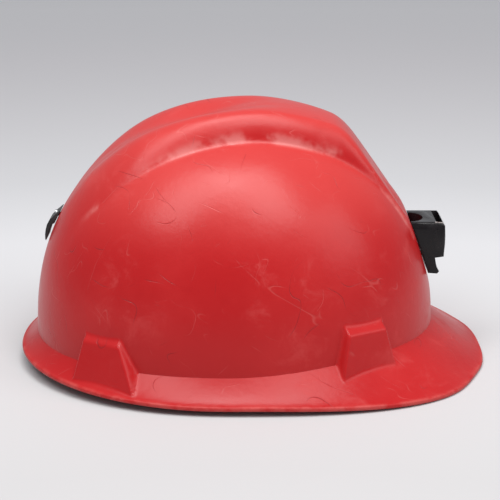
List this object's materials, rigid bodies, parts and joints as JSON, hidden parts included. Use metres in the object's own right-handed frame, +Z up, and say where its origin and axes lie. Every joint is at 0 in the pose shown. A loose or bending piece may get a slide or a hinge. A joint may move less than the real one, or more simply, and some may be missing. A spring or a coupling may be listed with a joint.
{
  "type": "hard hat",
  "caption": "Hard hat with a full front peak, V shaped crown ribs, a front lamp bracket, a rear cord clip and a strap suspension with a ratchet nape band.",
  "frame": {"origin": "centre of the shell's length and width, on the surface that the hat stands on", "axes": "+X towards the peak, +Y to the wearer's left, +Z up through the crown"},
  "size_m": [0.2885, 0.236, 0.1574],
  "materials": {
    "shell_red": "worn semi-gloss moulded plastic",
    "bracket_black": "gloss moulded plastic",
    "clip_black": "satin moulded plastic",
    "suspension_grey": "matte moulded plastic",
    "key_black": "matte moulded plastic",
    "webbing": "woven textile strap",
    "pad": "padded fabric",
    "steel": "plated steel"
  },
  "bodies": {
    "hat": {"shell": "shell_red", "lamp_bracket": "bracket_black", "bracket_plate": "steel", "bracket_screw_left": "steel", "bracket_screw_right": "steel", "cord_clip": "clip_black", "clip_rivet": "steel", "head_band": "key_black", "brow_pad": "pad", "nape_pad": "pad", "keeper_left": "suspension_grey", "keeper_right": "suspension_grey", "ratchet_tray": "suspension_grey", "ratchet_cover": "suspension_grey", "housing_screw_left": "steel", "housing_screw_right": "steel", "key_front_left": "key_black", "key_front_right": "key_black", "key_rear_left": "key_black", "key_rear_right": "key_black", "crown_strap_lower": "webbing", "crown_strap_upper": "webbing"},
    "knob": {"ratchet_knob": "key_black", "ratchet_pinion": "suspension_grey", "knob_screw": "steel"},
    "left_strap": {"nape_strap_left": "suspension_grey"},
    "right_strap": {"nape_strap_right": "suspension_grey"}
  },
  "joints": [
    {"name": "knob_turn", "type": "hinge", "parent": "hat", "child": "knob", "pos_m": [-0.11, 0, 0.017], "axis": [1, 0, 0], "range_deg": [-90, 90]},
    {"name": "left_strap_slide", "type": "hinge", "parent": "hat", "child": "left_strap", "pos_m": [-0.02325, 0, 0.017], "axis": [0, 0, 1], "range_deg": [-8, 8]},
    {"name": "right_strap_slide", "type": "hinge", "parent": "hat", "child": "right_strap", "pos_m": [-0.02325, 0, 0.017], "axis": [0, 0, 1], "range_deg": [-8, 8]}
  ],
  "couplings": [
    {"joint": "left_strap_slide", "follows": "knob_turn", "ratio": 0.08464},
    {"joint": "right_strap_slide", "follows": "knob_turn", "ratio": -0.08464}
  ]
}
